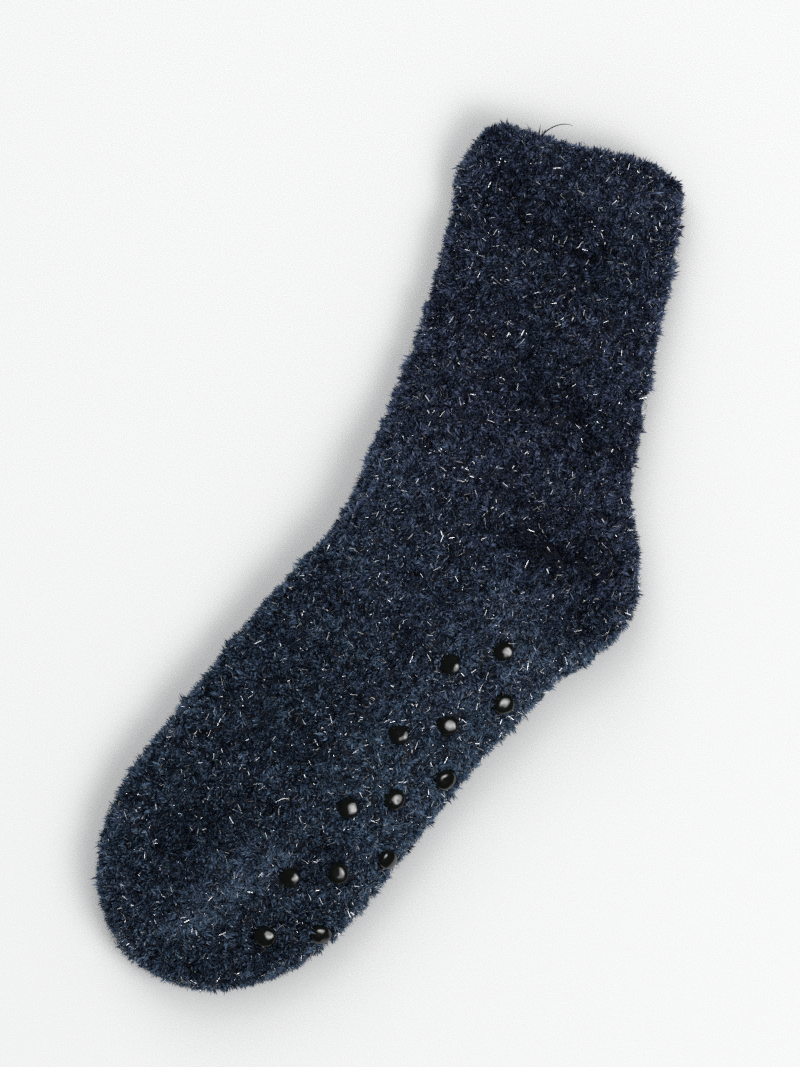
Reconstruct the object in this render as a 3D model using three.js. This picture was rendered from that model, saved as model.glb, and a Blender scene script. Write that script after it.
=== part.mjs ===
// A fluffy knitted slipper sock that lies slack on its side, with soft grip dots on its sole.
// Millimetres, +Z up. X runs from the cuff to the toe and Y from the instep to the sole. The floor is z = 0.
import * as THREE from "three";

// Driving dimensions
const legLength = 144.5; // along the middle of the leg, from the ankle's bend to the cuff's edge
const footLength = 199; // along the middle of the foot, from the ankle's bend to the toe's tip
const legWidth = 84; // the leg's tube, laid flat
const footWidth = 96; // the foot's tube, laid flat
const legLoft = 23; // how high the slack leg stands off the floor
const footLoft = 28; // how high the slack foot stands off the floor
const heelPocket = 12; // how far the turned heel stands out past the foot's tube
const toeLength = 60; // the rounded toe
const toeRound = 12; // the toe's edge, seen from the side
const legTilt = 14; // degrees between the leg and X
const footTilt = 14; // degrees between the foot and X
const bendReach = 40; // how far from the ankle's corner the bend starts, each way
const wall = 3.5; // the knitted wall with its pile
const weltDepth = 25; // the turned cuff
const weltStep = 1.1; // how much thicker the turned cuff is
const weltBlend = 5; // the length over which the cuff's step fades into the leg
const cuffRise = 6; // how much the cuff's edge climbs from its middle towards its front fold
const cornerDropFront = 16; // how far the edge drops from there to its front fold
const cornerDropBack = 6; // how much lower the edge is at its back fold
const cornerFade = 40; // the length of leg that this rise and these drops are spread over
const floorRound = 20; // the underside's rounding from the fold to the floor
const dotDiameter = 7.6;
const dotHeight = 1.5;
const dotEdge = 0.5; // the dot's height at its rim
const dotPitch = 32.9; // between the dots of the middle line
const dotGather = 0.014; // how much closer together the dots are towards the heel
const dotLines = 12.1; // between neighbouring lines of dots, round the sole
const dotStart = 28.6; // from the ankle's bend to the first dot of the middle line
const middleDots = 5; // dots in the middle line
const soleTurnHeel = 29.3; // from the sole's fold to the middle line at the heel, up round the wall
const soleTurnToe = 22.8; // the same at the toe
const soleTurnSag = 4.5; // how much nearer to the fold the line is halfway
const seatGap = 0.3; // between a dot and the wall

// Shares that shape a section
const foldShare = 0.46; // the height of the side fold, as a share of the section's loft
const crownPower = 2.6; // 2 is an ellipse, and more is squarer
const cornerShare = 0.45; // the most that one lower corner takes of half a narrow section
const risePower = 3; // how the cuff's edge climbs to the front
const dropPowerFront = 12; // how sharply the cuff's edge turns down to its front fold
const dropPowerBack = 5; // the same at its back fold
const domePower = 2.4; // the dome of a dot
const domeRings = [0.9, 0.66, 0.34]; // where a dot's rings lie, as shares of its radius

// Sections up the leg and down the foot. along is a share of that length from the ankle's bend, front and
// back are shares of half its width, heel is a share of heelPocket, and loft is a share of its own loft.
const legSections = [
  { along: 1.0, front: 0.89, back: 0.88, heel: 0, loft: 0.94 },
  { along: 0.9, front: 0.97, back: 0.925, heel: 0, loft: 0.94 },
  { along: 0.8, front: 0.97, back: 0.975, heel: 0, loft: 0.91 },
  { along: 0.68, front: 0.98, back: 0.98, heel: 0, loft: 0.96 },
  { along: 0.5, front: 1.02, back: 0.985, heel: 0, loft: 1.0 },
  { along: 0.33, front: 1.105, back: 1.0, heel: 0, loft: 1.03 },
  { along: 0.2, front: 1.165, back: 1.01, heel: 0.1, loft: 1.1 },
  { along: 0.1, front: 1.185, back: 1.06, heel: 0.65, loft: 1.2 },
];
const footSections = [
  { along: 0.0, front: 1.035, back: 1.0, heel: 0.95, loft: 1.07 },
  { along: 0.05, front: 1.025, back: 1.0, heel: 0.88, loft: 1.08 },
  { along: 0.1, front: 1.02, back: 1.0, heel: 0.45, loft: 1.08 },
  { along: 0.15, front: 1.01, back: 1.0, heel: 0.04, loft: 1.06 },
  { along: 0.21, front: 1.01, back: 0.99, heel: 0, loft: 1.03 },
  { along: 0.32, front: 1.035, back: 0.96, heel: 0, loft: 0.99 },
  { along: 0.42, front: 1.045, back: 0.955, heel: 0, loft: 0.98 },
  { along: 0.56, front: 1.025, back: 0.975, heel: 0, loft: 1.0 },
  { along: 0.7, front: 1.01, back: 0.985, heel: 0, loft: 0.95 },
  { along: 1.0, front: 1.02, back: 0.955, heel: 0, loft: 0.8 },
];

// The lines of dots, from the side of the foot down round the sole to the floor. turn counts lines up from
// the middle one, and start and pitch are shares of dotPitch.
const dotRows = [
  { turn: 1, dots: middleDots - 1, start: 0.45, pitch: 0.97 },
  { turn: 0, dots: middleDots, start: 0, pitch: 1 },
  { turn: -1, dots: middleDots - 1, start: 0.41, pitch: 1.07 },
  { turn: -2.68, dots: middleDots, start: 0.14, pitch: 1 },
  { turn: -2.86, dots: middleDots - 1, start: 0.45, pitch: 1 },
];

// Facets
const crownSteps = 20;
const cornerSteps = 5;
const flatSteps = 4;
const legStations = 14;
const weltStations = 6;
const soleStations = 10;
const heelStations = 12;
const heelReach = 50; // the length of foot that has the heel's closer stations
const toeStations = 9;
const rimSteps = 4;
const dotSides = 16;
const arcSamples = 160;

const clamp = THREE.MathUtils.clamp;
const smoothstep = THREE.MathUtils.smoothstep;

// The sections in one list from the cuff, at -legLength, to the toe's tip, at footLength.
function sectionKnots() {
  const knot = (row, length, width, loft) => ({
    at: row.along * length,
    front: (row.front * width) / 2,
    back: (row.back * width) / 2 + row.heel * heelPocket,
    loft: row.loft * loft,
  });
  return [
    ...legSections.map((row) => knot(row, -legLength, legWidth, legLoft)),
    ...footSections.map((row) => knot(row, footLength, footWidth, footLoft)),
  ];
}
const knots = sectionKnots();

// A smooth curve through one column of the knots.
function column(name, at) {
  const last = knots.length - 1;
  const i = clamp(knots.findLastIndex((knot) => knot.at <= at), 0, last - 1);
  const slope = (j) => {
    const a = knots[Math.max(j - 1, 0)];
    const b = knots[Math.min(j + 1, last)];
    return (b[name] - a[name]) / (b.at - a.at);
  };
  const span = knots[i + 1].at - knots[i].at;
  const t = clamp((at - knots[i].at) / span, 0, 1);
  const low = knots[i][name] * (1 + 2 * t) + slope(i) * span * t;
  const high = knots[i + 1][name] * (3 - 2 * t) - slope(i + 1) * span * (1 - t);
  return low * (1 - t) ** 2 + high * t ** 2;
}

// The middle line in plan: the leg's line, an arc at the ankle and the foot's line.
const legAngle = THREE.MathUtils.degToRad(legTilt);
const footAngle = THREE.MathUtils.degToRad(footTilt);
const bendRadius = bendReach / Math.tan((legAngle + footAngle) / 2);
const bendMiddle = (legAngle - footAngle) / 2;
const bendHalf = (bendRadius * (legAngle + footAngle)) / 2;

function middleLine(at) {
  const onArc = clamp(at, -bendHalf, bendHalf);
  const angle = bendMiddle - onArc / bendRadius;
  const beyond = at - onArc;
  const point = new THREE.Vector2(
    bendRadius * (Math.sin(bendMiddle) - Math.sin(angle)) + beyond * Math.cos(angle),
    bendRadius * (Math.cos(angle) - Math.cos(bendMiddle)) + beyond * Math.sin(angle),
  );
  return { point, side: new THREE.Vector2(-Math.sin(angle), Math.cos(angle)) };
}

// How much the turned cuff adds to the wall here.
function weltGrowth(at) {
  const start = weltDepth - legLength;
  return weltStep * (1 - smoothstep(at, start - weltBlend, start));
}

// The size of a section at a distance along the sock. inset draws it in from the outer face, without the
// cuff's step.
function sectionSize(at, inset) {
  const front = column("front", at);
  const back = column("back", at);
  const loft = column("loft", at);
  const tip = footLength - inset;
  const start = footLength - toeLength;
  const t = clamp((at - start) / (tip - start), 0, 1);
  const narrowing = Math.sqrt(1 - t * t);
  const round = toeRound - Math.max(inset, 0);
  const rounding = Math.sqrt(1 - (1 - clamp((tip - at) / round, 0, 1)) ** 2);
  const fold = loft * foldShare;
  const floor = inset + weltGrowth(at);
  const half = ((front + back) / 2 - inset) * narrowing;
  return {
    middle: (back - front) / 2,
    half,
    fold,
    low: fold - (fold - floor) * rounding,
    top: fold + (loft - inset - fold) * rounding,
    corner: Math.min(floorRound - Math.max(inset, 0), half * cornerShare),
  };
}

// A point of the crown, from 0 at the sole's fold over the top to 1 at the instep's fold.
function crownPoint(size, share) {
  const angle = Math.PI * share;
  const power = 2 / crownPower;
  const across = Math.sign(Math.cos(angle)) * Math.abs(Math.cos(angle)) ** power;
  const up = Math.abs(Math.sin(angle)) ** power;
  return [size.half * across, size.fold + (size.top - size.fold) * up];
}

// A point of a lower corner, from 0 at the fold on the given side to 1 on the floor.
function cornerPoint({ half, fold, low, corner }, side, share) {
  const angle = (Math.PI / 2) * share;
  return [side * (half - corner + corner * Math.cos(angle)), fold - (fold - low) * Math.sin(angle)];
}

// A section's outline: over the crown, round the lower corner, along the floor and round the other corner.
function outline(size) {
  const points = [];
  for (let i = 0; i <= crownSteps; i++) points.push(crownPoint(size, i / crownSteps));
  for (let i = 1; i <= cornerSteps; i++) points.push(cornerPoint(size, -1, i / cornerSteps));
  const flat = size.half - size.corner;
  for (let i = 1; i < flatSteps; i++) points.push([flat * ((2 * i) / flatSteps - 1), size.low]);
  for (let i = cornerSteps; i >= 1; i--) points.push(cornerPoint(size, 1, i / cornerSteps));
  return points;
}

// How far down the leg the cuff's edge lies at a share of the half width, from -1 at the front fold to 1.
function edgeDrop(share) {
  if (share > 0) return cornerDropBack * share ** dropPowerBack;
  return cornerDropFront * (-share) ** dropPowerFront - cuffRise * (-share) ** risePower;
}

// A point of a section in space. Near the cuff it follows the line of the cuff's edge.
function place(at, size, [across, up]) {
  const fade = clamp(1 - (at + legLength) / cornerFade, 0, 1) ** 2;
  const share = size.half > 0 ? across / size.half : 0;
  const { point, side } = middleLine(at + edgeDrop(share) * fade);
  const away = size.middle + across;
  return new THREE.Vector3(point.x + side.x * away, point.y + side.y * away, up);
}

function ring(at, inset) {
  const size = sectionSize(at, inset);
  return outline(size).map((corner) => place(at, size, corner));
}

// A closed surface through rings of equally many points, with a single point at each end.
function closedLoft(firstTip, rings, lastTip) {
  const around = rings[0].length;
  const points = [firstTip, ...rings.flat(), lastTip];
  const corner = (i, j) => 1 + i * around + (j % around);
  const faces = [];
  for (let j = 0; j < around; j++) {
    faces.push(0, corner(0, j), corner(0, j + 1));
    for (let i = 0; i + 1 < rings.length; i++) {
      faces.push(corner(i, j), corner(i + 1, j), corner(i, j + 1));
      faces.push(corner(i, j + 1), corner(i + 1, j), corner(i + 1, j + 1));
    }
    faces.push(corner(rings.length - 1, j), points.length - 1, corner(rings.length - 1, j + 1));
  }
  const geometry = new THREE.BufferGeometry().setFromPoints(points);
  geometry.setIndex(faces);
  return geometry;
}

// Where the rings stand between the toe and the cuff, closer together at the tip and at the cuff's step.
function stations(inset) {
  const found = [];
  const spread = (from, to, count) => {
    for (let i = 0; i < count; i++) found.push(from + ((to - from) * i) / count);
  };
  const toeStart = footLength - toeLength;
  const toe = toeLength - inset;
  for (let i = toeStations - 1; i > 0; i--) {
    found.push(toeStart + toe * Math.sin((Math.PI / 2) * (i / toeStations)));
  }
  spread(toeStart, heelReach, soleStations);
  spread(heelReach, 0, heelStations);
  spread(0, weltDepth - legLength, legStations);
  spread(weltDepth - legLength, (wall + weltStep) / 2 - legLength, weltStations);
  return found;
}

// The knitted sock: the outer face from the toe to the cuff, the cuff's round edge and the inner face back.
function knittedSock() {
  const tip = (inset) => {
    const size = sectionSize(footLength - inset, inset);
    return place(footLength - inset, size, [0, size.fold]);
  };
  const outer = stations(0).map((at) => ring(at, -weltGrowth(at)));
  const inner = stations(wall).map((at) => ring(at, wall));
  const rimRadius = (wall + weltStep) / 2;
  const rim = [];
  for (let i = 0; i <= rimSteps; i++) {
    const angle = (Math.PI * i) / rimSteps;
    const at = rimRadius * (1 - Math.sin(angle)) - legLength;
    rim.push(ring(at, (wall - weltStep) / 2 - rimRadius * Math.cos(angle)));
  }
  return closedLoft(tip(0), [...outer, ...rim, ...inner.reverse()], tip(wall));
}

// A point of the outer face that is a given way round the wall from the sole's fold, up over the crown or,
// below zero, down towards the floor.
function onWall(at, away) {
  const size = sectionSize(at, -weltGrowth(at));
  const path = (share) => (away < 0 ? cornerPoint(size, 1, share) : crownPoint(size, share));
  const goal = Math.abs(away);
  let here = path(0);
  let gone = 0;
  for (let i = 1; i <= arcSamples; i++) {
    const next = path(i / arcSamples);
    const step = Math.hypot(next[0] - here[0], next[1] - here[1]);
    if (gone + step >= goal) {
      const t = (goal - gone) / step;
      return place(at, size, [here[0] + (next[0] - here[0]) * t, here[1] + (next[1] - here[1]) * t]);
    }
    gone += step;
    here = next;
  }
  return place(at, size, here);
}

// The same point, raised off the wall along its normal.
function offWall(at, away, height) {
  const reach = 0.5;
  const along = onWall(at + reach, away).sub(onWall(at - reach, away));
  const round = onWall(at, away + reach).sub(onWall(at, away - reach));
  return onWall(at, away).addScaledVector(round.cross(along).normalize(), height);
}

// A grip dot: a shallow dome whose base follows the wall.
function gripDot(at, away) {
  const radius = dotDiameter / 2;
  const dome = (share) => seatGap + dotEdge + (dotHeight - dotEdge) * Math.sqrt(1 - share ** domePower);
  const circle = (share, height) =>
    Array.from({ length: dotSides }, (_, i) => {
      const angle = (2 * Math.PI * i) / dotSides;
      return offWall(at + radius * share * Math.cos(angle), away + radius * share * Math.sin(angle), height);
    });
  const rings = [
    circle(0.5, seatGap),
    circle(1, seatGap),
    circle(1, seatGap + dotEdge),
    ...domeRings.map((share) => circle(share, dome(share))),
  ];
  return closedLoft(offWall(at, away, seatGap), rings, offWall(at, away, seatGap + dotHeight));
}

// Where the dots lie, line by line, as the distance along the foot and the way round the wall from the fold.
function dotPlaces() {
  const pitches = middleDots - 1;
  const middleTurn = (at) => {
    const share = (at - dotStart) / (dotPitch * pitches);
    return THREE.MathUtils.lerp(soleTurnHeel, soleTurnToe, share) - soleTurnSag * 4 * share * (1 - share);
  };
  return dotRows.flatMap(({ turn, dots, start, pitch }) =>
    Array.from({ length: dots }, (_, i) => {
      const gone = start + pitch * i;
      const at = dotStart + dotPitch * (gone + dotGather * gone * (gone - pitches));
      return { at, away: middleTurn(at) + turn * dotLines };
    }),
  );
}

const cloth = new THREE.MeshStandardMaterial({ color: 0x1b2a45, roughness: 1, metalness: 0 });
const gripRubber = new THREE.MeshStandardMaterial({ color: 0x0d0e0f, roughness: 0.22, metalness: 0 });

const sock = new THREE.Group();
const sockGeometry = knittedSock();
sockGeometry.computeBoundingBox();
const centre = sockGeometry.boundingBox.getCenter(new THREE.Vector3()).setZ(0);

function addPiece(name, geometry, material) {
  geometry.computeVertexNormals();
  const piece = new THREE.Mesh(geometry, material);
  piece.name = name;
  piece.position.copy(centre).negate();
  sock.add(piece);
}

addPiece("knitted_sock", sockGeometry, cloth);
dotPlaces().forEach(({ at, away }, i) => {
  addPiece(`grip_dot_${String(i + 1).padStart(2, "0")}`, gripDot(at, away), gripRubber);
});

export default sock;
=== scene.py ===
import bpy
import numpy as np
from mathutils import Matrix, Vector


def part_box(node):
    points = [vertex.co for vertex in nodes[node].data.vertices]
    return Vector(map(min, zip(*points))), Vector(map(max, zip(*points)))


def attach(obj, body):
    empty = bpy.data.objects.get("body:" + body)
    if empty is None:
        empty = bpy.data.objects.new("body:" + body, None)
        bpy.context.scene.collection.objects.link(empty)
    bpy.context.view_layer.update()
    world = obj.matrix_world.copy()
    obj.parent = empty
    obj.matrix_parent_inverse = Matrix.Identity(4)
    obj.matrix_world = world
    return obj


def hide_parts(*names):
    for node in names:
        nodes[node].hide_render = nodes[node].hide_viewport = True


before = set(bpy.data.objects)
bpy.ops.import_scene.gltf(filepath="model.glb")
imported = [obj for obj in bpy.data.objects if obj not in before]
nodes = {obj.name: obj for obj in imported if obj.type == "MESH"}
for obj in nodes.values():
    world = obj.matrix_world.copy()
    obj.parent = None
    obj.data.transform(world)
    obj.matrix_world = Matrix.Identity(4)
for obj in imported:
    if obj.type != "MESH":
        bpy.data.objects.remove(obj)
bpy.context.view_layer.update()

mm = 0.001
rng = np.random.default_rng(11)
print("frame loaded:", len(nodes), "nodes")


# Materials

class Wire:
    # a value in a material's node tree; + - * / make Math nodes
    def __init__(self, shader, socket):
        self.shader, self.socket = shader, socket

    def math(self, operation, first, second=None):
        return self.shader.add("ShaderNodeMath", {"operation": operation}, {0: first, 1: second})

    def __add__(self, other):
        return self.math("ADD", self, other)

    def __radd__(self, other):
        return self.math("ADD", other, self)

    def __sub__(self, other):
        return self.math("SUBTRACT", self, other)

    def __rsub__(self, other):
        return self.math("SUBTRACT", other, self)

    def __mul__(self, other):
        return self.math("MULTIPLY", self, other)

    def __rmul__(self, other):
        return self.math("MULTIPLY", other, self)

    def __truediv__(self, other):
        return self.math("DIVIDE", self, other)

    def __rtruediv__(self, other):
        return self.math("DIVIDE", other, self)


class Shader:
    def __init__(self, name):
        self.material = bpy.data.materials.new(name)
        self.material.use_nodes = True
        self.tree = self.material.node_tree
        self.surface = self.tree.nodes["Principled BSDF"]

    # any node: its type, its settings, then the values and links of its inputs; gives back one output
    def add(self, kind, settings=None, inputs=None, output=0):
        node = self.tree.nodes.new(kind)
        for name, value in (settings or {}).items():
            setattr(node, name, value)
        for name, value in (inputs or {}).items():
            self.plug(node.inputs[name], value)
        return Wire(self, node.outputs[output])

    def plug(self, socket, value):
        if isinstance(value, Wire):
            self.tree.links.new(value.socket, socket)
        elif value is not None:
            socket.default_value = value

    def noise(self, scale, detail=2.0, roughness=0.5):
        place = self.add("ShaderNodeTexCoord", output="Object")
        return self.add("ShaderNodeTexNoise", inputs={"Vector": place, "Scale": scale, "Detail": detail,
                                                      "Roughness": roughness}, output=0)

    def attribute(self, name):
        return self.add("ShaderNodeAttribute", {"attribute_name": name}, output="Fac")

    # low at 0 and high at 1, kept between them
    def mix(self, share, low, high):
        return self.add("ShaderNodeMix", {"data_type": "RGBA", "clamp_factor": True},
                        {0: share, 6: (*low, 1) if isinstance(low, tuple) else low,
                         7: (*high, 1) if isinstance(high, tuple) else high}, output=2)

    def bump(self, height, distance):
        return self.add("ShaderNodeBump", inputs={"Height": height, "Distance": distance})

    def set(self, **values):
        for name, value in values.items():
            self.plug(self.surface.inputs[name.replace("_", " ")], value)
        return self.material


def knitMaterial():
    shader = Shader("knitGround")
    grain = shader.noise(900, 3, 0.6)
    colour = shader.mix(grain, (0.003, 0.004, 0.008), (0.012, 0.017, 0.032))
    return shader.set(Base_Color=colour, Roughness=0.95, Normal=shader.bump(grain, 0.0012))


def pileMaterial():
    shader = Shader("navyPile")
    shade = shader.attribute("shade")
    drift = shader.noise(55, 2)
    clump = shader.noise(240, 1)
    tone = shade + (drift - 0.5) * 0.3 + (clump - 0.5) * 0.5
    tint = shader.attribute("teal") + shader.noise(60, 1) - 0.5
    navy = shader.mix(tint, (0.034, 0.047, 0.100), (0.030, 0.0535, 0.098))
    # low shade marks go to near-black and high ones to pale blue; the marks carry the pile's own random tone
    # and its painted light and shade
    deep = shader.mix(tone * 2.0, (0.0025, 0.0035, 0.008), navy)
    pale = shader.mix(tint, (0.150, 0.187, 0.312), (0.126, 0.203, 0.305))
    colour = shader.mix(tone * 2.0 - 1.0, deep, pale)
    return shader.set(Base_Color=colour, Roughness=0.8, Specular_IOR_Level=0.25)


def sliverMaterial():
    shader = Shader("silverSliver")
    # painted glints: dark and silver copies of one foil stand in for unlit and lit slivers
    shine = shader.attribute("shade")
    grain = shader.noise(1400, 1)
    colour = shader.mix(shine, (0.008, 0.01, 0.013), (0.93, 0.95, 0.98))
    return shader.set(Base_Color=colour, Metallic=0.9 + shine * 0.1, Roughness=0.3 + grain * 0.15)


def gripMaterial():
    shader = Shader("gripRubber")
    grain = shader.noise(420, 2)
    dents = shader.noise(330, 0)
    colour = shader.mix(grain, (0.003, 0.0035, 0.003), (0.006, 0.007, 0.006))
    return shader.set(Base_Color=colour, Roughness=0.1 + grain * 0.1, Specular_IOR_Level=0.75,
                      Normal=shader.bump(dents, 0.0004))


def threadMaterial():
    shader = Shader("looseThread")
    colour = shader.mix(shader.noise(700), (0.006, 0.007, 0.01), (0.02, 0.023, 0.03))
    return shader.set(Base_Color=colour, Roughness=0.7)


# The sock's own form, in millimetres

sock = {
    "legLength": 144.5, "footLength": 199, "legWidth": 84, "footWidth": 96, "legLoft": 23, "footLoft": 28,
    "heelPocket": 12, "toeLength": 60, "toeRound": 12, "legTilt": 14, "footTilt": 14, "bendReach": 40,
    "wall": 3.5, "weltDepth": 25, "weltStep": 1.1, "weltBlend": 5, "cuffRise": 6, "cornerDropFront": 16,
    "cornerDropBack": 6, "cornerFade": 40,
    "floorRound": 20, "foldShare": 0.46, "crownPower": 2.6, "cornerShare": 0.45, "risePower": 3,
    "dropPowerFront": 12, "dropPowerBack": 5,
}
# along, front, back, heel, loft: shares of the length, the half width, the heel pocket and the loft
legRows = np.array([
    (1.0, 0.89, 0.88, 0, 0.94),
    (0.9, 0.97, 0.925, 0, 0.94),
    (0.8, 0.97, 0.975, 0, 0.91),
    (0.68, 0.98, 0.98, 0, 0.96),
    (0.5, 1.02, 0.985, 0, 1.0),
    (0.33, 1.105, 1.0, 0, 1.03),
    (0.2, 1.165, 1.01, 0.1, 1.1),
    (0.1, 1.185, 1.06, 0.65, 1.2),
])
footRows = np.array([
    (0.0, 1.035, 1.0, 0.95, 1.07),
    (0.05, 1.025, 1.0, 0.88, 1.08),
    (0.1, 1.02, 1.0, 0.45, 1.08),
    (0.15, 1.01, 1.0, 0.04, 1.06),
    (0.21, 1.01, 0.99, 0, 1.03),
    (0.32, 1.035, 0.96, 0, 0.99),
    (0.42, 1.045, 0.955, 0, 0.98),
    (0.56, 1.025, 0.975, 0, 1.0),
    (0.7, 1.01, 0.985, 0, 0.95),
    (1.0, 1.02, 0.955, 0, 0.8),
])


def knotTable(rows, length, width, loft):
    return np.stack([rows[:, 0] * length, rows[:, 1] * width / 2,
                     rows[:, 2] * width / 2 + rows[:, 3] * sock["heelPocket"], rows[:, 4] * loft])


knots = np.hstack([knotTable(legRows, -sock["legLength"], sock["legWidth"], sock["legLoft"]),
                   knotTable(footRows, sock["footLength"], sock["footWidth"], sock["footLoft"])])
columns = {"front": 1, "back": 2, "loft": 3}


# a smooth cubic through one column of the knots
def column(name, at):
    x, y = knots[0], knots[columns[name]]
    i = np.clip(np.searchsorted(x, at, side="right") - 1, 0, len(x) - 2)
    slope = np.concatenate([[(y[1] - y[0]) / (x[1] - x[0])], (y[2:] - y[:-2]) / (x[2:] - x[:-2]),
                            [(y[-1] - y[-2]) / (x[-1] - x[-2])]])
    span = x[i + 1] - x[i]
    t = np.clip((at - x[i]) / span, 0, 1)
    low = y[i] * (1 + 2 * t) + slope[i] * span * t
    high = y[i + 1] * (3 - 2 * t) - slope[i + 1] * span * (1 - t)
    return low * (1 - t) ** 2 + high * t ** 2


def ease(low, high, x):
    t = np.clip((x - low) / (high - low), 0, 1)
    return t * t * (3 - 2 * t)


# the middle line in plan: the leg's line, an arc at the ankle and the foot's line
def middleLine(at):
    leg, foot = np.radians(sock["legTilt"]), np.radians(sock["footTilt"])
    radius = sock["bendReach"] / np.tan((leg + foot) / 2)
    middle, half = (leg - foot) / 2, radius * (leg + foot) / 2
    onArc = np.clip(at, -half, half)
    angle = middle - onArc / radius
    beyond = at - onArc
    x = radius * (np.sin(middle) - np.sin(angle)) + beyond * np.cos(angle)
    y = radius * (np.cos(angle) - np.cos(middle)) + beyond * np.sin(angle)
    return x, y, -np.sin(angle), np.cos(angle)


def weltGrowth(at):
    start = sock["weltDepth"] - sock["legLength"]
    return sock["weltStep"] * (1 - ease(start - sock["weltBlend"], start, at))


# how far down the leg the cuff's edge lies at a share of the half width, from -1 at the front fold to 1
def edgeDrop(share):
    front, back = np.maximum(-share, 0), np.maximum(share, 0)
    climb = sock["cuffRise"] * front ** sock["risePower"]
    return (sock["cornerDropFront"] * front ** sock["dropPowerFront"] - climb
            + sock["cornerDropBack"] * back ** sock["dropPowerBack"])


# rings round the sock at the given distances, each drawn in by its inset; their points are evenly spaced and
# start at the sole's fold
def rings(at, inset, count):
    at, inset = np.broadcast_arrays(np.asarray(at, float), np.asarray(inset, float))
    front, back, loft = column("front", at), column("back", at), column("loft", at)
    tip, start = sock["footLength"] - inset, sock["footLength"] - sock["toeLength"]
    t = np.clip((at - start) / (tip - start), 0, 1)
    half = ((front + back) / 2 - inset) * np.sqrt(1 - t * t)
    rounding = np.sqrt(1 - (1 - np.clip((tip - at) / (sock["toeRound"] - np.maximum(inset, 0)), 0, 1)) ** 2)
    fold = loft * sock["foldShare"]
    low = fold - (fold - inset - weltGrowth(at)) * rounding
    top = fold + (loft - inset - fold) * rounding
    corner = np.minimum(sock["floorRound"] - np.maximum(inset, 0), half * sock["cornerShare"])
    half, fold, low, top, corner = (v[:, None] for v in (half, fold, low, top, corner))
    a = np.linspace(0, np.pi, 140)
    power = 2 / sock["crownPower"]
    b = np.linspace(0, np.pi / 2, 26)[1:]
    flat = np.linspace(-1, 1, 22)[1:-1] * (half - corner)
    across = np.hstack([half * np.sign(np.cos(a)) * np.abs(np.cos(a)) ** power,
                        -(half - corner + corner * np.cos(b)), flat,
                        (half - corner + corner * np.cos(b))[:, ::-1], half])
    up = np.hstack([fold + (top - fold) * np.abs(np.sin(a)) ** power, fold - (fold - low) * np.sin(b),
                    low + 0 * flat, (fold - (fold - low) * np.sin(b))[:, ::-1], fold])
    steps = [np.diff(v, axis=1, prepend=v[:, :1]) for v in (across, up)]
    gone = np.cumsum(np.hypot(*steps), 1)
    share = np.arange(count) / count
    evenly = [(np.interp(share * g[-1], g, x), np.interp(share * g[-1], g, z))
              for g, x, z in zip(gone, across, up)]
    across, up = (np.array(v) for v in zip(*evenly))
    fade = np.clip(1 - (at + sock["legLength"]) / sock["cornerFade"], 0, 1)[:, None] ** 2
    drop = edgeDrop(np.clip(across / np.maximum(half, 1e-6), -1, 1))
    x, y, sideX, sideY = middleLine(at[:, None] + drop * fade)
    away = (back - front)[:, None] / 2 + across
    return np.stack([x + sideX * away, y + sideY * away, up], axis=2)


# Creases in plan: from x, y to x, y, half their width, and how deep (below 0) or proud they are
creases = np.array([
    (-128, -46, -131, 20, 7, -2.0),
    (-112, -40, -115, 24, 8, 0.8),
    (-72, -10, -66, 34, 7, -2.2),
    (-54, -30, -50, 30, 9, 1.2),
    (-34, -10, -36, 36, 6, -1.0),
    (-20, 4, -22, 44, 7, -3.0),
    (-8, 20, -14, 58, 8, 1.6),
    (-8, 2, 14, 12, 5, -2.4),
    (14, 12, 44, 2, 5, -2.2),
    (44, 2, 84, -6, 5, -1.6),
    (12, 26, 60, 16, 8, 1.2),
    (52, 22, 60, 34, 5, -1.4),
    (92, 10, 100, 20, 6, -1.2),
    (145, -28, 104, -8, 7, 2.2),
    (122, -42, 112, -38, 9, -2.0),
    (140, -20, 146, -2, 6, -1.8),
    (50, -46, 68, -20, 9, -1.6),
    (8, -34, 30, -18, 9, 1.0),
    (-30, -38, -24, -10, 10, 1.0),
], float)


def alongSegment(x, y, x0, y0, x1, y1):
    t = np.clip(((x - x0) * (x1 - x0) + (y - y0) * (y1 - y0)) / ((x1 - x0) ** 2 + (y1 - y0) ** 2), 0, 1)
    return np.hypot(x - x0 - t * (x1 - x0), y - y0 - t * (y1 - y0))


def creaseHeight(x, y):
    height = np.zeros_like(x)
    for x0, y0, x1, y1, width, depth in creases:
        height += depth * np.exp(-(alongSegment(x, y, x0, y0, x1, y1) / width) ** 2)
    return height


def unit(v):
    return v / np.maximum(np.linalg.norm(v, axis=-1, keepdims=True), 1e-9)


def faceNormals(points):
    down = np.gradient(points, axis=0)
    sideways = (np.roll(points, -1, 1) - np.roll(points, 1, 1)) / 2
    return unit(np.cross(sideways, down))


nodeLow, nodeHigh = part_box("knitted_sock")
toeStart = sock["footLength"] - sock["toeLength"]
toeTurn = np.linspace(0, np.pi / 2, 64)[1:]
rimRadius = (sock["wall"] + sock["weltStep"]) / 2
rimTurn = np.linspace(0, np.pi, 9)
around = 200


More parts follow.
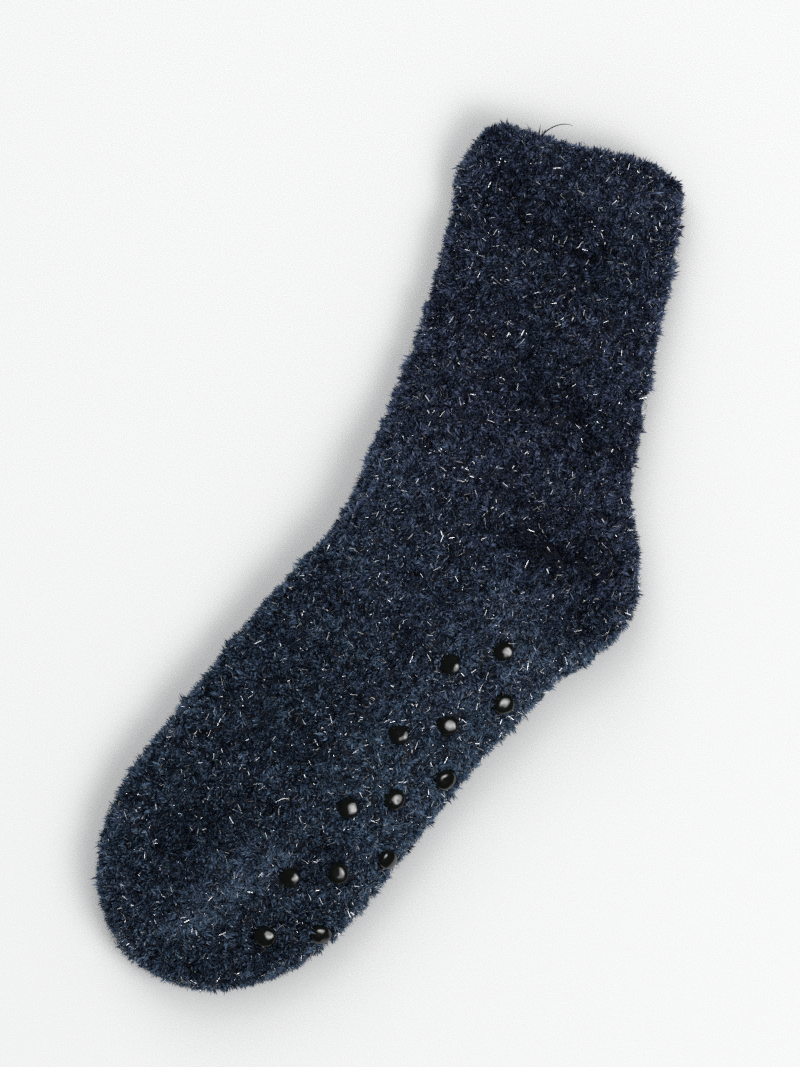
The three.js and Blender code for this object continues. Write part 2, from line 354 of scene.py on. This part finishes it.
# one sheet of rings from deep inside, round the cuff's edge and on to the toe's tip
def sheetRings(depth):
    innerAt = np.linspace(depth, rimRadius - sock["legLength"], 60)[:-1]
    rimAt = rimRadius * (1 - np.sin(rimTurn)) - sock["legLength"]
    rimInset = (sock["wall"] - sock["weltStep"]) / 2 + rimRadius * np.cos(rimTurn)
    outerAt = np.linspace(rimRadius - sock["legLength"], toeStart, 230)[1:]
    toeAt = toeStart + (sock["toeLength"] - 0.02) * np.sin(toeTurn)
    at = np.concatenate([innerAt, rimAt, outerAt, toeAt])
    inset = np.concatenate([0 * innerAt + sock["wall"], rimInset, -weltGrowth(outerAt), -weltGrowth(toeAt)])
    return at, inset, rings(at, inset, around)


sheetAt, sheetInset, sheet = sheetRings(60)
outerFrom = 59 + len(rimTurn)
outer = sheet[outerFrom:]
middle = [(outer[..., k].max() + outer[..., k].min()) / 2 for k in (0, 1)]
shift = np.array([(nodeLow[k] + nodeHigh[k]) / 2 / mm - middle[k] for k in (0, 1)] + [0])
sheet = sheet + shift
sheetNormal = faceNormals(sheet)
outwards = np.where(np.arange(len(sheet)) < outerFrom - len(rimTurn) // 2, -1, 1)[:, None]
topSide = ease(0.15, 0.7, sheetNormal[..., 2] * outwards) * outwards
sheet = sheet + sheetNormal * (creaseHeight(sheet[..., 0], sheet[..., 1]) * topSide)[..., None]
sheetNormal = faceNormals(sheet)
print("sock form:", sheet.shape)


# Mesh building

# marks: named values of every point, for the material to read
def addMesh(name, points, quads=None, triangles=None, material=None, uv=None, marks=None, smooth=True):
    mesh = bpy.data.meshes.new(name)
    faces = []
    if quads is not None:
        faces.append((quads, 4))
    if triangles is not None:
        faces.append((triangles, 3))
    corners = np.concatenate([f.ravel() for f, _ in faces]).astype(np.int32)
    sizes = np.concatenate([np.full(len(f), n) for f, n in faces])
    mesh.vertices.add(len(points))
    mesh.vertices.foreach_set("co", (np.asarray(points) * mm).astype(np.float32).ravel())
    mesh.loops.add(len(corners))
    mesh.loops.foreach_set("vertex_index", corners)
    mesh.polygons.add(len(sizes))
    mesh.polygons.foreach_set("loop_start", (np.cumsum(sizes) - sizes).astype(np.int32))
    mesh.polygons.foreach_set("use_smooth", np.full(len(sizes), smooth))
    mesh.update(calc_edges=True)
    if uv is not None:
        layer = mesh.uv_layers.new(name="OFBake")
        layer.uv.foreach_set("vector", uv[corners].astype(np.float32).ravel())
    for mark, values in (marks or {}).items():
        mesh.attributes.new(mark, "FLOAT", "POINT").data.foreach_set("value", values.astype(np.float32))
    mesh.materials.append(material)
    piece = bpy.data.objects.new(name, mesh)
    bpy.context.scene.collection.objects.link(piece)
    return piece


def gridQuads(rows, count):
    i, j = np.meshgrid(np.arange(rows - 1), np.arange(count), indexing="ij")
    a, b = i * count + j, i * count + (j + 1) % count
    return np.stack([a, a + count, b + count, b], axis=-1).reshape(-1, 4)


knit = {"under": 1.9}  # how far the knit's ground lies under the tips of the pile


def buildKnit():
    under = np.where(sheetInset > sock["wall"] - 0.1, 0.6, knit["under"])[:, None, None]
    ground = (sheet - sheetNormal * under)[::-2, ::2][::-1]
    ground[..., 2] = np.maximum(ground[..., 2], 0.15)
    rows, around = ground.shape[:2]
    points = np.vstack([ground.reshape(-1, 3), ground[-1].mean(0)])
    last = (rows - 1) * around + np.arange(around)
    cap = np.stack([last, np.full(around, len(points) - 1), np.roll(last, -1)], 1)
    j, i = np.meshgrid(np.arange(around) / around, np.arange(rows) / rows)
    uv = np.vstack([np.stack([i, j], -1).reshape(-1, 2), [[1, 0.5]]])
    piece = addMesh("knitGround", points, gridQuads(rows, around), cap, knitMaterial(), uv)
    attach(piece, "root")
    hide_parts("knitted_sock")
    return piece


# Grip dots, in the places of the solids

grip = {"radius": 3.85, "height": 2.0, "lip": 0.7, "sunk": 0.75, "rings": 9, "sides": 40,
        "root": 1.2, "crownPower": 2.3, "wobble": (0.035, 0.02)}


def dotFrames():
    names = sorted(n for n in nodes if n.startswith("grip_dot"))
    centres, ups = [], []
    for name in names:
        points = np.array([v.co for v in nodes[name].data.vertices]) / mm
        middle = points.mean(0)
        spread = np.linalg.svd(points - middle)[2]
        up = spread[2]
        towards = middle - sheet[outerFrom:].reshape(-1, 3)
        near = np.argmin((towards ** 2).sum(1))
        up = up * np.sign(up @ sheetNormal[outerFrom:].reshape(-1, 3)[near])
        low = ((points - middle) @ up).min()
        centres.append(middle + up * (low - grip["sunk"]))
        ups.append(up)
    return names, np.array(centres), np.array(ups)


dotNames, dotCentres, dotUps = dotFrames()


def buildDots():
    inwards = np.sqrt(np.linspace(1, 0, grip["rings"]))[:-1]
    crown = grip["lip"] + (grip["height"] - grip["lip"]) * np.sqrt(1 - inwards ** grip["crownPower"])
    share = np.concatenate([[1.0, 1.02], inwards * 0.985, [0.12]])
    height = np.concatenate([[-grip["root"], 0.1], crown, [grip["height"] * 0.998]])
    turn = np.linspace(0, 2 * np.pi, grip["sides"], endpoint=False)
    twice, thrice = grip["wobble"]
    points, faces, caps = [], [], []
    for k, (centre, up) in enumerate(zip(dotCentres, dotUps)):
        side = unit(np.cross(up, [1.0, 0.2, 0.1]))
        fore = np.cross(side, up)
        wobble = 1 + twice * np.sin(2 * turn + k * 1.7) + thrice * np.sin(3 * turn + k * 2.9)
        radius = grip["radius"] * share[:, None] * wobble
        shape = (centre + radius[..., None] * (np.cos(turn)[:, None] * side + np.sin(turn)[:, None] * fore)
                 + height[:, None, None] * up)
        first = sum(len(p) for p in points)
        points.append(np.vstack([shape.reshape(-1, 3), centre + up * grip["height"]]))
        faces.append(first + gridQuads(len(share), grip["sides"])[:, ::-1])
        last = first + (len(share) - 1) * grip["sides"] + np.arange(grip["sides"])
        caps.append(np.stack([last, np.roll(last, -1), np.full(len(last), first + len(points[-1]) - 1)], 1))
    points = np.vstack(points)
    points[:, 2] = np.maximum(points[:, 2], 0.02)
    piece = addMesh("gripDots", points, np.vstack(faces), np.vstack(caps), gripMaterial())
    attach(piece, "root")
    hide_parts(*dotNames)
    return piece


# Pile

pile = {"pieces": ("pileCuff", "pileLeg", "pileHeel", "pileToe"), "tufts": 31000, "blades": 12,
        "root": 0.5, "length": (1.7, 3.2), "width": (0.35, 0.92), "hair": (0.12, 0.28), "hairs": 0.25,
        "long": (0.1, 1.4), "belly": (0.4, 0.65), "stray": 0.42, "bend": 0.14,
        "lean": 1.0, "swirl": 0.25, "lift": 0.38, "lump": 4.2, "innerDepth": 45,
        "tone": 0.46, "spread": 0.21, "patches": 0.06, "sole": 0.09, "edge": 0.12, "grain": 0.2,
        "fade": (-0.75, -0.10, -0.10, 0.26)}


# whole and fractional places on the sheet, chosen by area
def scatter(count, weight, first):
    sideways = (np.roll(sheet, -1, 1) - sheet)[:-1]
    area = np.linalg.norm(np.cross(np.diff(sheet, axis=0), sideways), axis=2) * weight
    area[:first] = 0
    total = np.cumsum(area.ravel())
    pick = np.searchsorted(total, rng.random(count) * total[-1])
    i, j = np.divmod(pick, around)
    return i + rng.random(count), j + rng.random(count)


def onSheet(values, i, j):
    i0, j0 = np.floor(i).astype(int), np.floor(j).astype(int)
    s, t = (i - i0)[:, None], (j - j0)[:, None]
    i1, j1 = np.minimum(i0 + 1, len(values) - 1), (j0 + 1) % around
    return ((values[i0, j0 % around] * (1 - t) + values[i0, j1] * t) * (1 - s)
            + (values[i1, j0 % around] * (1 - t) + values[i1, j1] * t) * s)


# a smooth random field in space, about 0 with a spread of 1: waves of nearly one length, added up
def lumps(points, size, seed, waves=16):
    dice = np.random.default_rng(seed)
    ways = unit(dice.standard_normal((waves, 3))) * 2 * np.pi / (size * dice.uniform(0.7, 1.5, (waves, 1)))
    return np.sin(points @ ways.T + dice.uniform(0, 2 * np.pi, waves)).sum(1) / np.sqrt(waves / 2)


# how far the pile stands above its even depth, in soft lumps
def liftAt(points):
    return np.clip(pile["lift"] * lumps(points, pile["lump"], 7), -0.9, 1.1)


# painted light and shade on the pile, brighter where the form faces the light and darker in its troughs and
# at the heel: from x, y to x, y, reach and gain
paintedLightAndShade = np.array([
    (-135, -34, -133, 2, 11, -0.22),
    (-158, -30, -150, 8, 8, 0.10),
    (-80, 2, -75, 28, 10, -0.20),
    (-70, -24, -60, -4, 14, 0.05),
    (-30, 22, -33, 44, 8, -0.32),
    (-18, 56, -6, 50, 6, -0.20),
    (-30, -30, 0, -14, 20, 0.10),
    (6, -26, 20, -18, 14, 0.05),
    (-6, 28, 8, 44, 12, 0.16),
    (24, 22, 62, 12, 12, 0.14),
    (30, 40, 100, 22, 8, 0.14),
    (149, -27, 133, -20, 6, 0.54),
    (127, -16, 111, -8, 6, 0.46),
    (120, -40, 114, -38, 10, -0.26),
    (82, -32, 72, -22, 12, -0.10),
    (96, 12, 106, 8, 9, -0.14),
    (156, -14, 146, -4, 10, -0.12),
    (136, 6, 128, 12, 9, -0.12),
], float)
# the line in plan where the sole begins
soleEdge = np.array([(-40, 60), (-22, 42), (-11, 20), (4, 10), (35, 3), (62, -3), (91, -12), (112, -2),
                     (200, 40)], float)


def soleToneAndPaintedLightAt(points):
    x, y = points[:, 0], points[:, 1]
    # the pile is paler past the line where the sole begins
    tone = pile["sole"] * ease(-4, 4, y - np.interp(x, soleEdge[:, 0], soleEdge[:, 1])) * ease(-16, -6, x)
    # the table's painted light and shade, added on
    for x0, y0, x1, y1, reach, gain in paintedLightAndShade:
        tone += gain * np.exp(-(alongSegment(x, y, x0, y0, x1, y1) / reach) ** 2)
    return tone


def sheetWeight():
    weight = np.where(sheetNormal[..., 2] < -0.75, 0.18, 1.0)
    inner = (sheetInset > sock["wall"] - 0.1)[:, None]
    return np.where(inner, 0.45, weight)[:-1]


innerFrom = int(np.argmax(sheetAt < pile["innerDepth"] - sock["legLength"]))


def buildPile():
    count = pile["tufts"]
    i, j = scatter(count, sheetWeight(), innerFrom)
    order = np.argsort(i)
    i, j = i[order], j[order]
    root, up = onSheet(sheet, i, j), unit(onSheet(sheetNormal, i, j))
    root = root - up * knit["under"]
    away = root[:, None] - dotCentres
    apart = np.linalg.norm(away - (away * dotUps).sum(2, keepdims=True) * dotUps, axis=2)
    height = (away * dotUps).sum(2)
    kept = ~((apart < grip["radius"] * 0.97) & (np.abs(height) < 4)).any(1)
    i, j, root, up = i[kept], j[kept], root[kept], up[kept]
    side = unit(np.cross(up, [0.31, 0.22, 0.92]))
    fore = np.cross(side, up)
    count, blades = len(i), pile["blades"]
    angle = rng.random(count) * 2 * np.pi
    lean = pile["lean"] * np.sqrt(rng.random(count))
    acrossLean = np.cos(angle) * lean + pile["swirl"] * lumps(root, 9, 5)
    alongLean = np.sin(angle) * lean + pile["swirl"] * lumps(root, 9, 6)
    leaning = side * acrossLean[:, None] + fore * alongLean[:, None]
    lift = liftAt(root)
    root = root + up * lift[:, None]
    share, longer = pile["long"]
    length = rng.uniform(*pile["length"], count)
    length = length * np.where(rng.random(count) < share, longer, 1) * (1 + 0.3 * lift)
    flare = rng.uniform(0.0, 1.5, count)
    # painted side light: blades on side-facing slopes get a paler tone and a tealer tint
    edge = 1 - ease(0.15, 0.85, up[:, 2])
    tone = (pile["tone"] + pile["spread"] * rng.standard_normal(count) + pile["patches"] * lumps(root, 5, 8)
            + soleToneAndPaintedLightAt(root) + pile["edge"] * edge)
    teal = 0.58 + 0.35 * np.clip(root[:, 0] / 50, -1, 1) + 0.3 * edge

    # every blade: a kite from its root to its tip, widest just past the middle
    spread = pile["root"] * rng.standard_normal((count, blades, 2))
    foot = side[:, None] * spread[..., :1] + fore[:, None] * spread[..., 1:]
    reach = length[:, None] * rng.uniform(0.55, 1.05, (count, blades))
    axis = unit(up + leaning)[:, None] * reach[..., None] + foot * flare[:, None, None]
    axis = axis + rng.standard_normal((count, blades, 3)) * pile["stray"]
    start = root[:, None] + foot
    across = unit(np.cross(axis, rng.standard_normal((count, blades, 3))))
    each = (count, blades, 1)
    thin = rng.random(each) < pile["hairs"]
    hair, blade = rng.uniform(*pile["hair"], each), rng.uniform(*pile["width"], each)
    wide = np.where(thin, hair, blade) / 2
    belly = start + axis * rng.uniform(*pile["belly"], each)
    belly = belly + rng.standard_normal((count, blades, 3)) * pile["bend"]
    points = np.stack([start, belly - across * wide, belly + across * wide, start + axis], axis=2)
    points[..., 2] = np.maximum(points[..., 2], 0.1 + 0.25 * rng.random(points.shape[:3]))
    shade = np.clip(tone[:, None] + pile["grain"] * rng.standard_normal((count, blades)), 0, 1)
    # painted shade at each blade's root and painted light at its tip, from the fade's four values for root,
    # belly sides and tip
    shade = shade[..., None] + np.array(pile["fade"])
    rows = len(sheet)
    uvRoot = np.stack([i / rows, j / around], axis=1)[:, None, None]
    offset = points - root[:, None, None]
    uvOffset = np.stack([(offset * fore[:, None, None]).sum(-1) / 400,
                         (offset * side[:, None, None]).sum(-1) / 200], -1)
    uv = uvRoot + uvOffset
    parts = np.array_split(np.arange(count), len(pile["pieces"]))
    material = pileMaterial()
    made = []
    for name, rowsOf in zip(pile["pieces"], parts):
        own = points[rowsOf].reshape(-1, 3)
        first = np.arange(len(own) // 4)[:, None] * 4
        faces = np.vstack([first + [0, 2, 1], first + [1, 2, 3]])
        ownUv = uv[rowsOf].reshape(-1, 2)
        ownUv = (ownUv - ownUv.min(0)) / np.ptp(ownUv, axis=0)
        marks = {"shade": shade[rowsOf].ravel(), "teal": np.repeat(teal[rowsOf], blades * 4)}
        piece = addMesh(name, own, None, faces, material, ownUv, marks, smooth=False)
        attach(piece, "root")
        made.append(piece)
        print(name, len(faces), "triangles")
    return made


# Slivers of foil in the yarn

sliver = {"count": 66000, "length": (0.3, 2.9), "width": (0.07, 0.16), "bright": 0.46, "paintedGlints": 0.8,
          "facing": (0.02, 0.14, 0.5), "spread": 0.42}


def buildSlivers():
    i, j = scatter(sliver["count"], sheetWeight(), innerFrom)
    up = unit(onSheet(sheetNormal, i, j))
    root = onSheet(sheet, i, j)
    away = root[:, None] - dotCentres
    kept = ~(np.linalg.norm(away, axis=2) < grip["radius"] * 1.05).any(1)
    i, j, up, root = i[kept], j[kept], up[kept], root[kept]
    count = len(i)
    root = root + up * (liftAt(root)[:, None] + rng.uniform(-0.8, 0.8, (count, 1)))
    along = unit(rng.standard_normal((count, 3)) + up * rng.uniform(-0.2, 0.7, (count, 1)))
    shortest, longest = sliver["length"]
    length = shortest + (longest - shortest) * rng.random((count, 1)) ** 2.5
    facing = unit(up / 2 + sliver["facing"] + sliver["spread"] * rng.standard_normal((count, 3)))
    across = unit(np.cross(along, facing)) * rng.uniform(*sliver["width"], (count, 1)) / 2
    half = along * length / 2
    points = np.stack([root - half - across, root - half + across,
                       root + half + across, root + half - across], axis=1)
    points[..., 2] = np.maximum(points[..., 2], 0.12)
    faces = np.arange(count * 4).reshape(-1, 4)
    # painted glints: a share of the slivers is silver and the rest dark, and that share rises with the
    # pile's painted light
    bright = sliver["bright"] + sliver["paintedGlints"] * soleToneAndPaintedLightAt(root)
    shade = np.repeat((rng.random(count) < bright).astype(float) * rng.uniform(0.6, 1, count), 4)
    corner = np.array([(0, 0), (0, 0.001), (0.004, 0.001), (0.004, 0)])
    uv = (np.stack([i / len(sheet), j / around], axis=1)[:, None] + corner) * 0.99
    piece = addMesh("silverSlivers", points.reshape(-1, 3), faces, None, sliverMaterial(), uv.reshape(-1, 2),
                    {"shade": shade}, smooth=False)
    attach(piece, "root")
    print("silverSlivers", len(faces) * 2, "triangles")
    return piece


# The loose end of thread at the cuff

thread = {"path": ((-160.5, -36.7, 15.0), (-164.3, -35.4, 16.5), (-167.4, -33.8, 18.5),
                   (-170.2, -31.0, 19.0), (-171.5, -27.2, 18.0)), "radius": 0.25, "rings": 28, "sides": 6}


def buildThread():
    path = np.array(thread["path"])
    knotAt = np.linspace(0, 1, len(path))
    share = np.linspace(0, 1, thread["rings"])
    # a smooth way through the points: a fourth-power polynomial in each of x, y and z
    line = np.stack([np.polyval(np.polyfit(knotAt, path[:, k], 4), share) for k in range(3)], axis=1)
    ahead = unit(np.gradient(line, axis=0))
    side = unit(np.cross(ahead, [0, 0, 1.0]))
    rise = np.cross(side, ahead)
    turn = np.linspace(0, 2 * np.pi, thread["sides"], endpoint=False)
    radius = thread["radius"] * (1 - 0.7 * share ** 2)[:, None, None]
    points = line[:, None] + radius * (side[:, None] * np.cos(turn)[:, None]
                                       + rise[:, None] * np.sin(turn)[:, None])
    quads = gridQuads(len(line), thread["sides"])
    piece = addMesh("looseThread", points.reshape(-1, 3), quads, None, threadMaterial())
    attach(piece, "root")
    return piece


# Floor, light and camera

stageSizes = {"floor": 6.0, "centre": (-12.7, -18.7), "height": 384.1, "distance": 2400, "roll": 26}


def buildStage():
    shader = Shader("paleFloor")
    colour = shader.mix(shader.noise(3, 1), (0.73, 0.728, 0.725), (0.75, 0.748, 0.745))
    material = shader.set(Base_Color=colour, Roughness=0.9)
    half = stageSizes["floor"] / 2 / mm
    points = np.array([(-half, -half, 0), (half, -half, 0), (half, half, 0), (-half, half, 0)], float)
    floor = addMesh("paleFloor", points, np.array([[0, 1, 2, 3]]), None, material)


def addLight(name, place, target, size, power, mirrored=True):
    data = bpy.data.lights.new(name, "AREA")
    data.shape, data.size, data.energy = "DISK", size, power
    lamp = bpy.data.objects.new(name, data)
    lamp.visible_glossy = mirrored  # whether the rubber dots and the foil mirror it
    bpy.context.scene.collection.objects.link(lamp)
    back = unit(np.array(place, float) - np.array(target, float))
    side = unit(np.cross([0.0, 1.0, 0.01], back))
    turned = np.eye(4)
    turned[:3, 0], turned[:3, 1], turned[:3, 2], turned[:3, 3] = side, np.cross(back, side), back, place
    lamp.matrix_world = Matrix(turned.tolist())


def buildLight():
    world = bpy.data.worlds.new("paleRoom")
    world.use_nodes = True
    world.node_tree.nodes["Background"].inputs["Color"].default_value = (0.96, 0.98, 1.0, 1)
    world.node_tree.nodes["Background"].inputs["Strength"].default_value = 0.42
    world.cycles_visibility.glossy = False
    bpy.context.scene.world = world
    addLight("softKey", (0.15, 1.3, 2.0), (0, 0, 0), 1.7, 25.0)
    addLight("keyCore", (0.15, 1.29, 1.98), (0, 0, 0), 0.8, 9.0)
    addLight("softTop", (-0.5, -0.8, 2.7), (0, 0, 0), 2.4, 19.0, mirrored=False)
    addLight("softFill", (-1.3, -1.2, 1.6), (0, 0, 0), 1.8, 19.0, mirrored=False)


def buildCamera():
    data = bpy.data.cameras.new("photoView")
    data.sensor_fit, data.sensor_height = "VERTICAL", 36
    data.lens = 36 * stageSizes["distance"] / stageSizes["height"]
    data.clip_start, data.clip_end = 0.1, 10
    camera = bpy.data.objects.new("photoView", data)
    bpy.context.scene.collection.objects.link(camera)
    x, y = stageSizes["centre"]
    roll = np.radians(stageSizes["roll"])
    turned = np.eye(4)
    turned[:3, 0] = (-np.sin(roll), np.cos(roll), 0)
    turned[:3, 1] = (-np.cos(roll), -np.sin(roll), 0)
    turned[:3, 3] = (x * mm, y * mm, stageSizes["distance"] * mm + 0.014)
    camera.matrix_world = Matrix(turned.tolist())
    bpy.context.scene.camera = camera


# Build

buildKnit()
print("knit ground done")
buildDots()
print("grip dots done")
buildPile()
buildSlivers()
buildThread()
print("pile, slivers and thread done")
buildStage()
buildLight()
buildCamera()
bpy.context.scene.view_settings.view_transform = "Standard"
bpy.context.scene.cycles.use_denoising = False
print("stage done")
